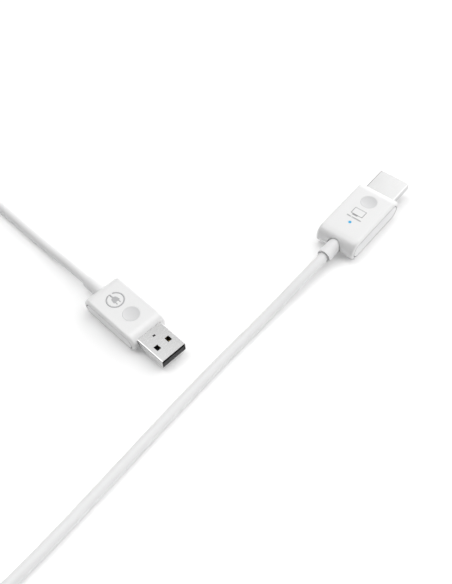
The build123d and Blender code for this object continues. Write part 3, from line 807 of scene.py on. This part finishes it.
groove_shade_names = []
for head, place in (("receiver", receiver_place), ("supply", supply_place)):
    for hand in ("left", "right"):
        ring, face, side = plate_outline(f"{head}_{hand}_side_plate", place)
        name = f"{head}_{hand}_joint"
        path = [(p.x / mm, p.y / mm) for p in ring]
        groove_shade = strokes(name, [path], 0.0, closed=True)
        run_tree(groove_shade, line_tree, {"Line Width": 0.3 * mm, "Ink": ink, "Corner Radius": 0.0})
        stand_up = Matrix(((0, 0, 1, face - side * line_depth), (1, 0, 0, 0),
                           (0, 1, 0, 0), (0, 0, 0, 1)))
        marks[name] = settle(groove_shade, name, place @ stand_up)
        # The dark line is painted shade in the groove.
        marks[name].data.materials[0] = looks["groove_shade_line"]
        groove_shade_names.append(name)
print("joint lines", groove_shade_names)

# %% [markdown]
# ## Seams under the plugs
# A plug's shell is one folded sheet, and its two edges meet in a thin line underneath.  The
# line tree that prints the marks draws them too, in black.

# %% Plug seams
for name, place, under, reach in (("video_seam", receiver_place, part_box("video_plug_shell")[0][2], 10.2),
                                  ("supply_seam", supply_place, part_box("supply_plug_shell")[0][2], 12.8)):
    seam = strokes(name, [[(0, 0.3), (0, reach)]], under)
    run_tree(seam, line_tree, {"Line Width": 0.12 * mm, "Ink": ink, "Corner Radius": 0.0})
    marks[name] = settle(seam, name, place)
    marks[name].data.materials[0] = looks["black_insulator"]

# %% [markdown]
# ## Floor and light
# The object stands on plain white paper.  The light is a studio of its own: a soft grey dome
# with a large bright panel above on the left, a second panel low on the right, and black cloth
# around the camera's side.  White plastic shows its shape only where some of it mirrors or
# faces the dark, and polished steel gets its thin dark edges from the same cloth.

# %% Paper floor
floor_half = 3.0
floor_mesh = bpy.data.meshes.new("floor")
corners = [(-floor_half, -floor_half, 0), (floor_half, -floor_half, 0), (floor_half, floor_half, 0),
           (-floor_half, floor_half, 0)]
floor_mesh.from_pydata(corners, [], [(0, 1, 2, 3)])
floor = bpy.data.objects.new("floor", floor_mesh)
bpy.context.collection.objects.link(floor)
bench, place = begin("floor_paper")
speckle = bench.noise(place, 40)
floor_tone = bench.mix(speckle, (0.94, 0.94, 0.94), (0.955, 0.955, 0.955))
floor.data.materials.append(finish("floor_paper", floor_tone, 0.95, Emission_Color=(1, 1, 1, 1),
                                   Emission_Strength=0.12))

# %% [markdown]
# ## The backdrop
# A low view looks past the paper into the unlit part of the studio.  A pale paper shell closes
# it off.  It must not change the light on the object, so only a direct look can see it: it
# throws no shadow and shows in no reflection.

# %% Backdrop shell
backdrop_radius = 2.9
shell_mesh = bpy.data.meshes.new("backdrop")
shaper = bmesh.new()
bmesh.ops.create_uvsphere(shaper, u_segments=48, v_segments=24,
                          radius=backdrop_radius)
bmesh.ops.reverse_faces(shaper, faces=shaper.faces)
shaper.to_mesh(shell_mesh)
shaper.free()
backdrop = bpy.data.objects.new("backdrop", shell_mesh)
bpy.context.collection.objects.link(backdrop)
bench, place = begin("backdrop_paper")
drift = bench.noise(place, 2)
shell_mesh.materials.append(finish("backdrop_paper", (0.0, 0.0, 0.0), 0.9 + drift * 0.1,
                                   Emission_Color=(1, 1, 1, 1), Emission_Strength=1.0))
for seen_by in ("shadow", "diffuse", "glossy", "transmission", "volume_scatter"):
    setattr(backdrop, "visible_" + seen_by, False)
print("backdrop", len(shell_mesh.polygons), "faces")

# %% Studio dome
dome_strength = 0.25
upper_panel = (Vector((-0.126, -0.233, 0.964)), 0.69, 0.99, 3.0)
right_panel = (Vector((0.548, 0.809, 0.214)), 0.28, 0.58, 1.5)
black_cloth = (Vector((0.52, -0.724, 0.453)), 0.415, 0.655, 0.95)

world = bpy.data.worlds.new("studio")
bpy.context.scene.world = world
world.use_nodes = True
world.node_tree.nodes.clear()
sky = Bench(world.node_tree)
direction = sky.add("ShaderNodeTexCoord", None, None, "Generated")


def patch_of_sky(axis, edge, core, strength):
    """A round patch round an axis: 0 outside its edge, and its strength inside its core."""
    nearness = sky.add("ShaderNodeVectorMath", {"operation": "DOT_PRODUCT"},
                       {"Vector": direction, "Vector_001": tuple(axis.normalized())}, "Value")
    return sky.add("ShaderNodeMapRange", {"interpolation_type": "SMOOTHSTEP"},
                   {"Value": nearness, "From Min": edge, "From Max": core,
                    "To Min": 0.0, "To Max": strength})


strength = dome_strength + patch_of_sky(*upper_panel) + patch_of_sky(*right_panel)
strength = strength * (1 - patch_of_sky(*black_cloth))
glow = sky.add("ShaderNodeBackground", None, {"Color": (1, 1, 1, 1), "Strength": strength})
out = world.node_tree.nodes.new("ShaderNodeOutputWorld")
world.node_tree.links.new(glow.socket, out.inputs["Surface"])
bpy.context.scene.view_settings.view_transform = "Standard"
print("studio of", len(world.node_tree.nodes), "nodes")

# %% Rides and replacements
for name, piece in marks.items():
    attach(piece, "root")
for piece in (woven_tie, tie_stitches):
    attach(piece, "root")
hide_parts("cord_tie")
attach(cord, "root")
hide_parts("cord_receiver_run", "cord_coil", "cord_supply_run")
